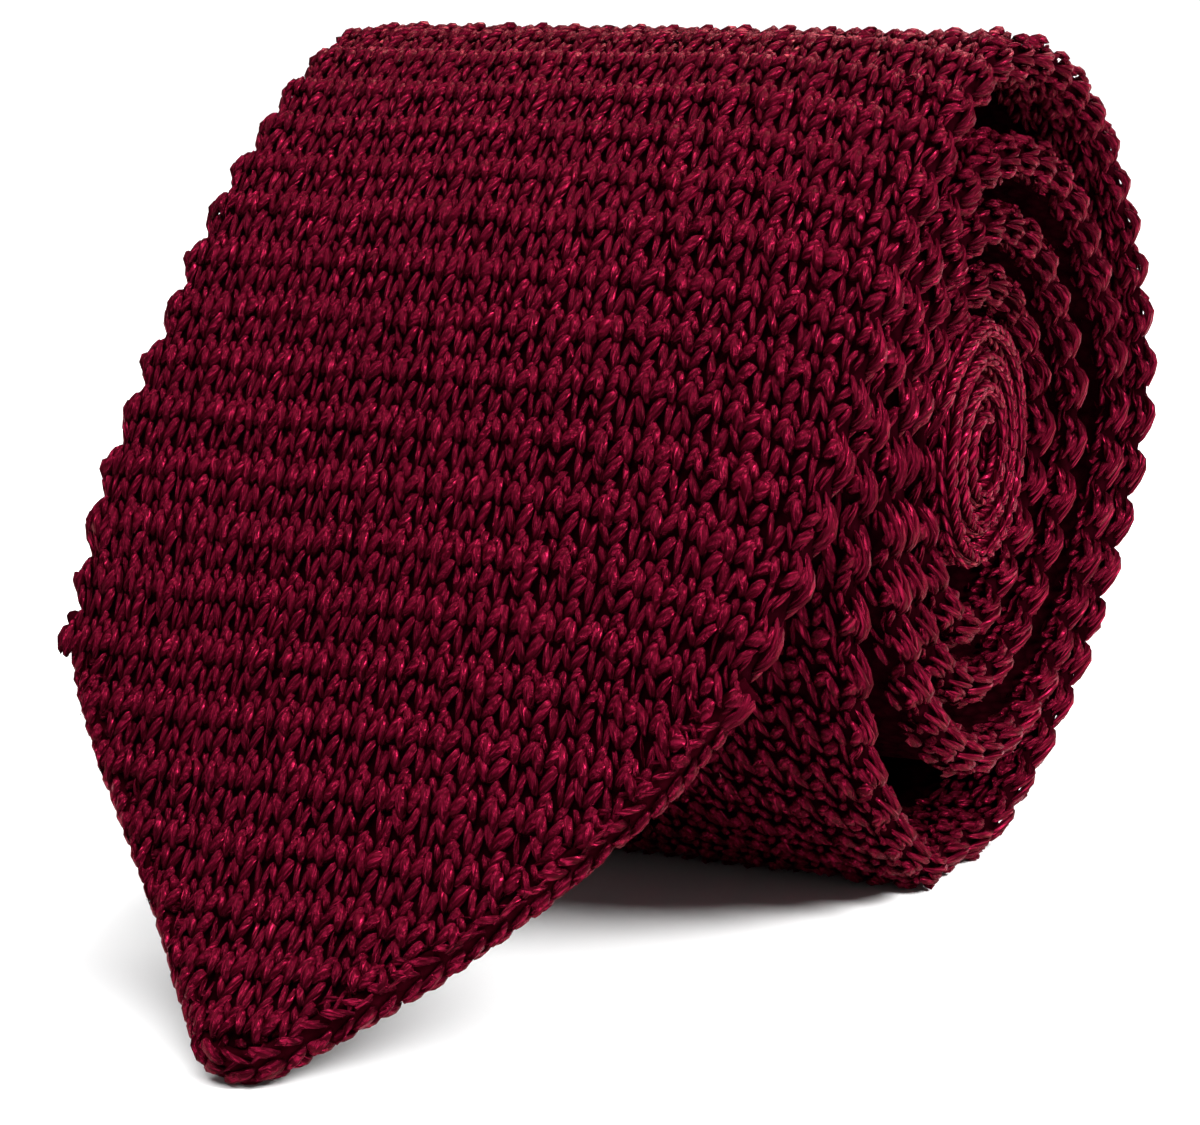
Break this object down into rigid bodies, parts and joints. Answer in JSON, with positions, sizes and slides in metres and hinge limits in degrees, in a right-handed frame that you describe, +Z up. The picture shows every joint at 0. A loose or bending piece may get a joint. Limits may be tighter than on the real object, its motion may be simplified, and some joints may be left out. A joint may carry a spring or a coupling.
{
  "type": "rolled knit tie",
  "caption": "Rolled-up knit tie lying on a surface, ribbed knit with a plain knit core and a pointed end that leans out in front of the roll.",
  "frame": {"origin": "middle of the footprint, on the surface that the tie lies on", "axes": "+X along the roll's axis, across the tie, towards the end that the picture shows; the point lies towards -Y; +Z up"},
  "size_m": [0.0638, 0.1098, 0.0674],
  "materials": {
    "ribbed_knit": "silky knitting yarn with a soft sheen, deep wine red",
    "plain_knit": "the same yarn in plain stitches, deep wine red",
    "hem_yarn": "the same yarn, bound along the point's two sides"
  },
  "bodies": {
    "root": {"ribbed_blade": "ribbed_knit", "plain_neck_band": "plain_knit", "point_hem": "hem_yarn"}
  },
  "joints": []
}
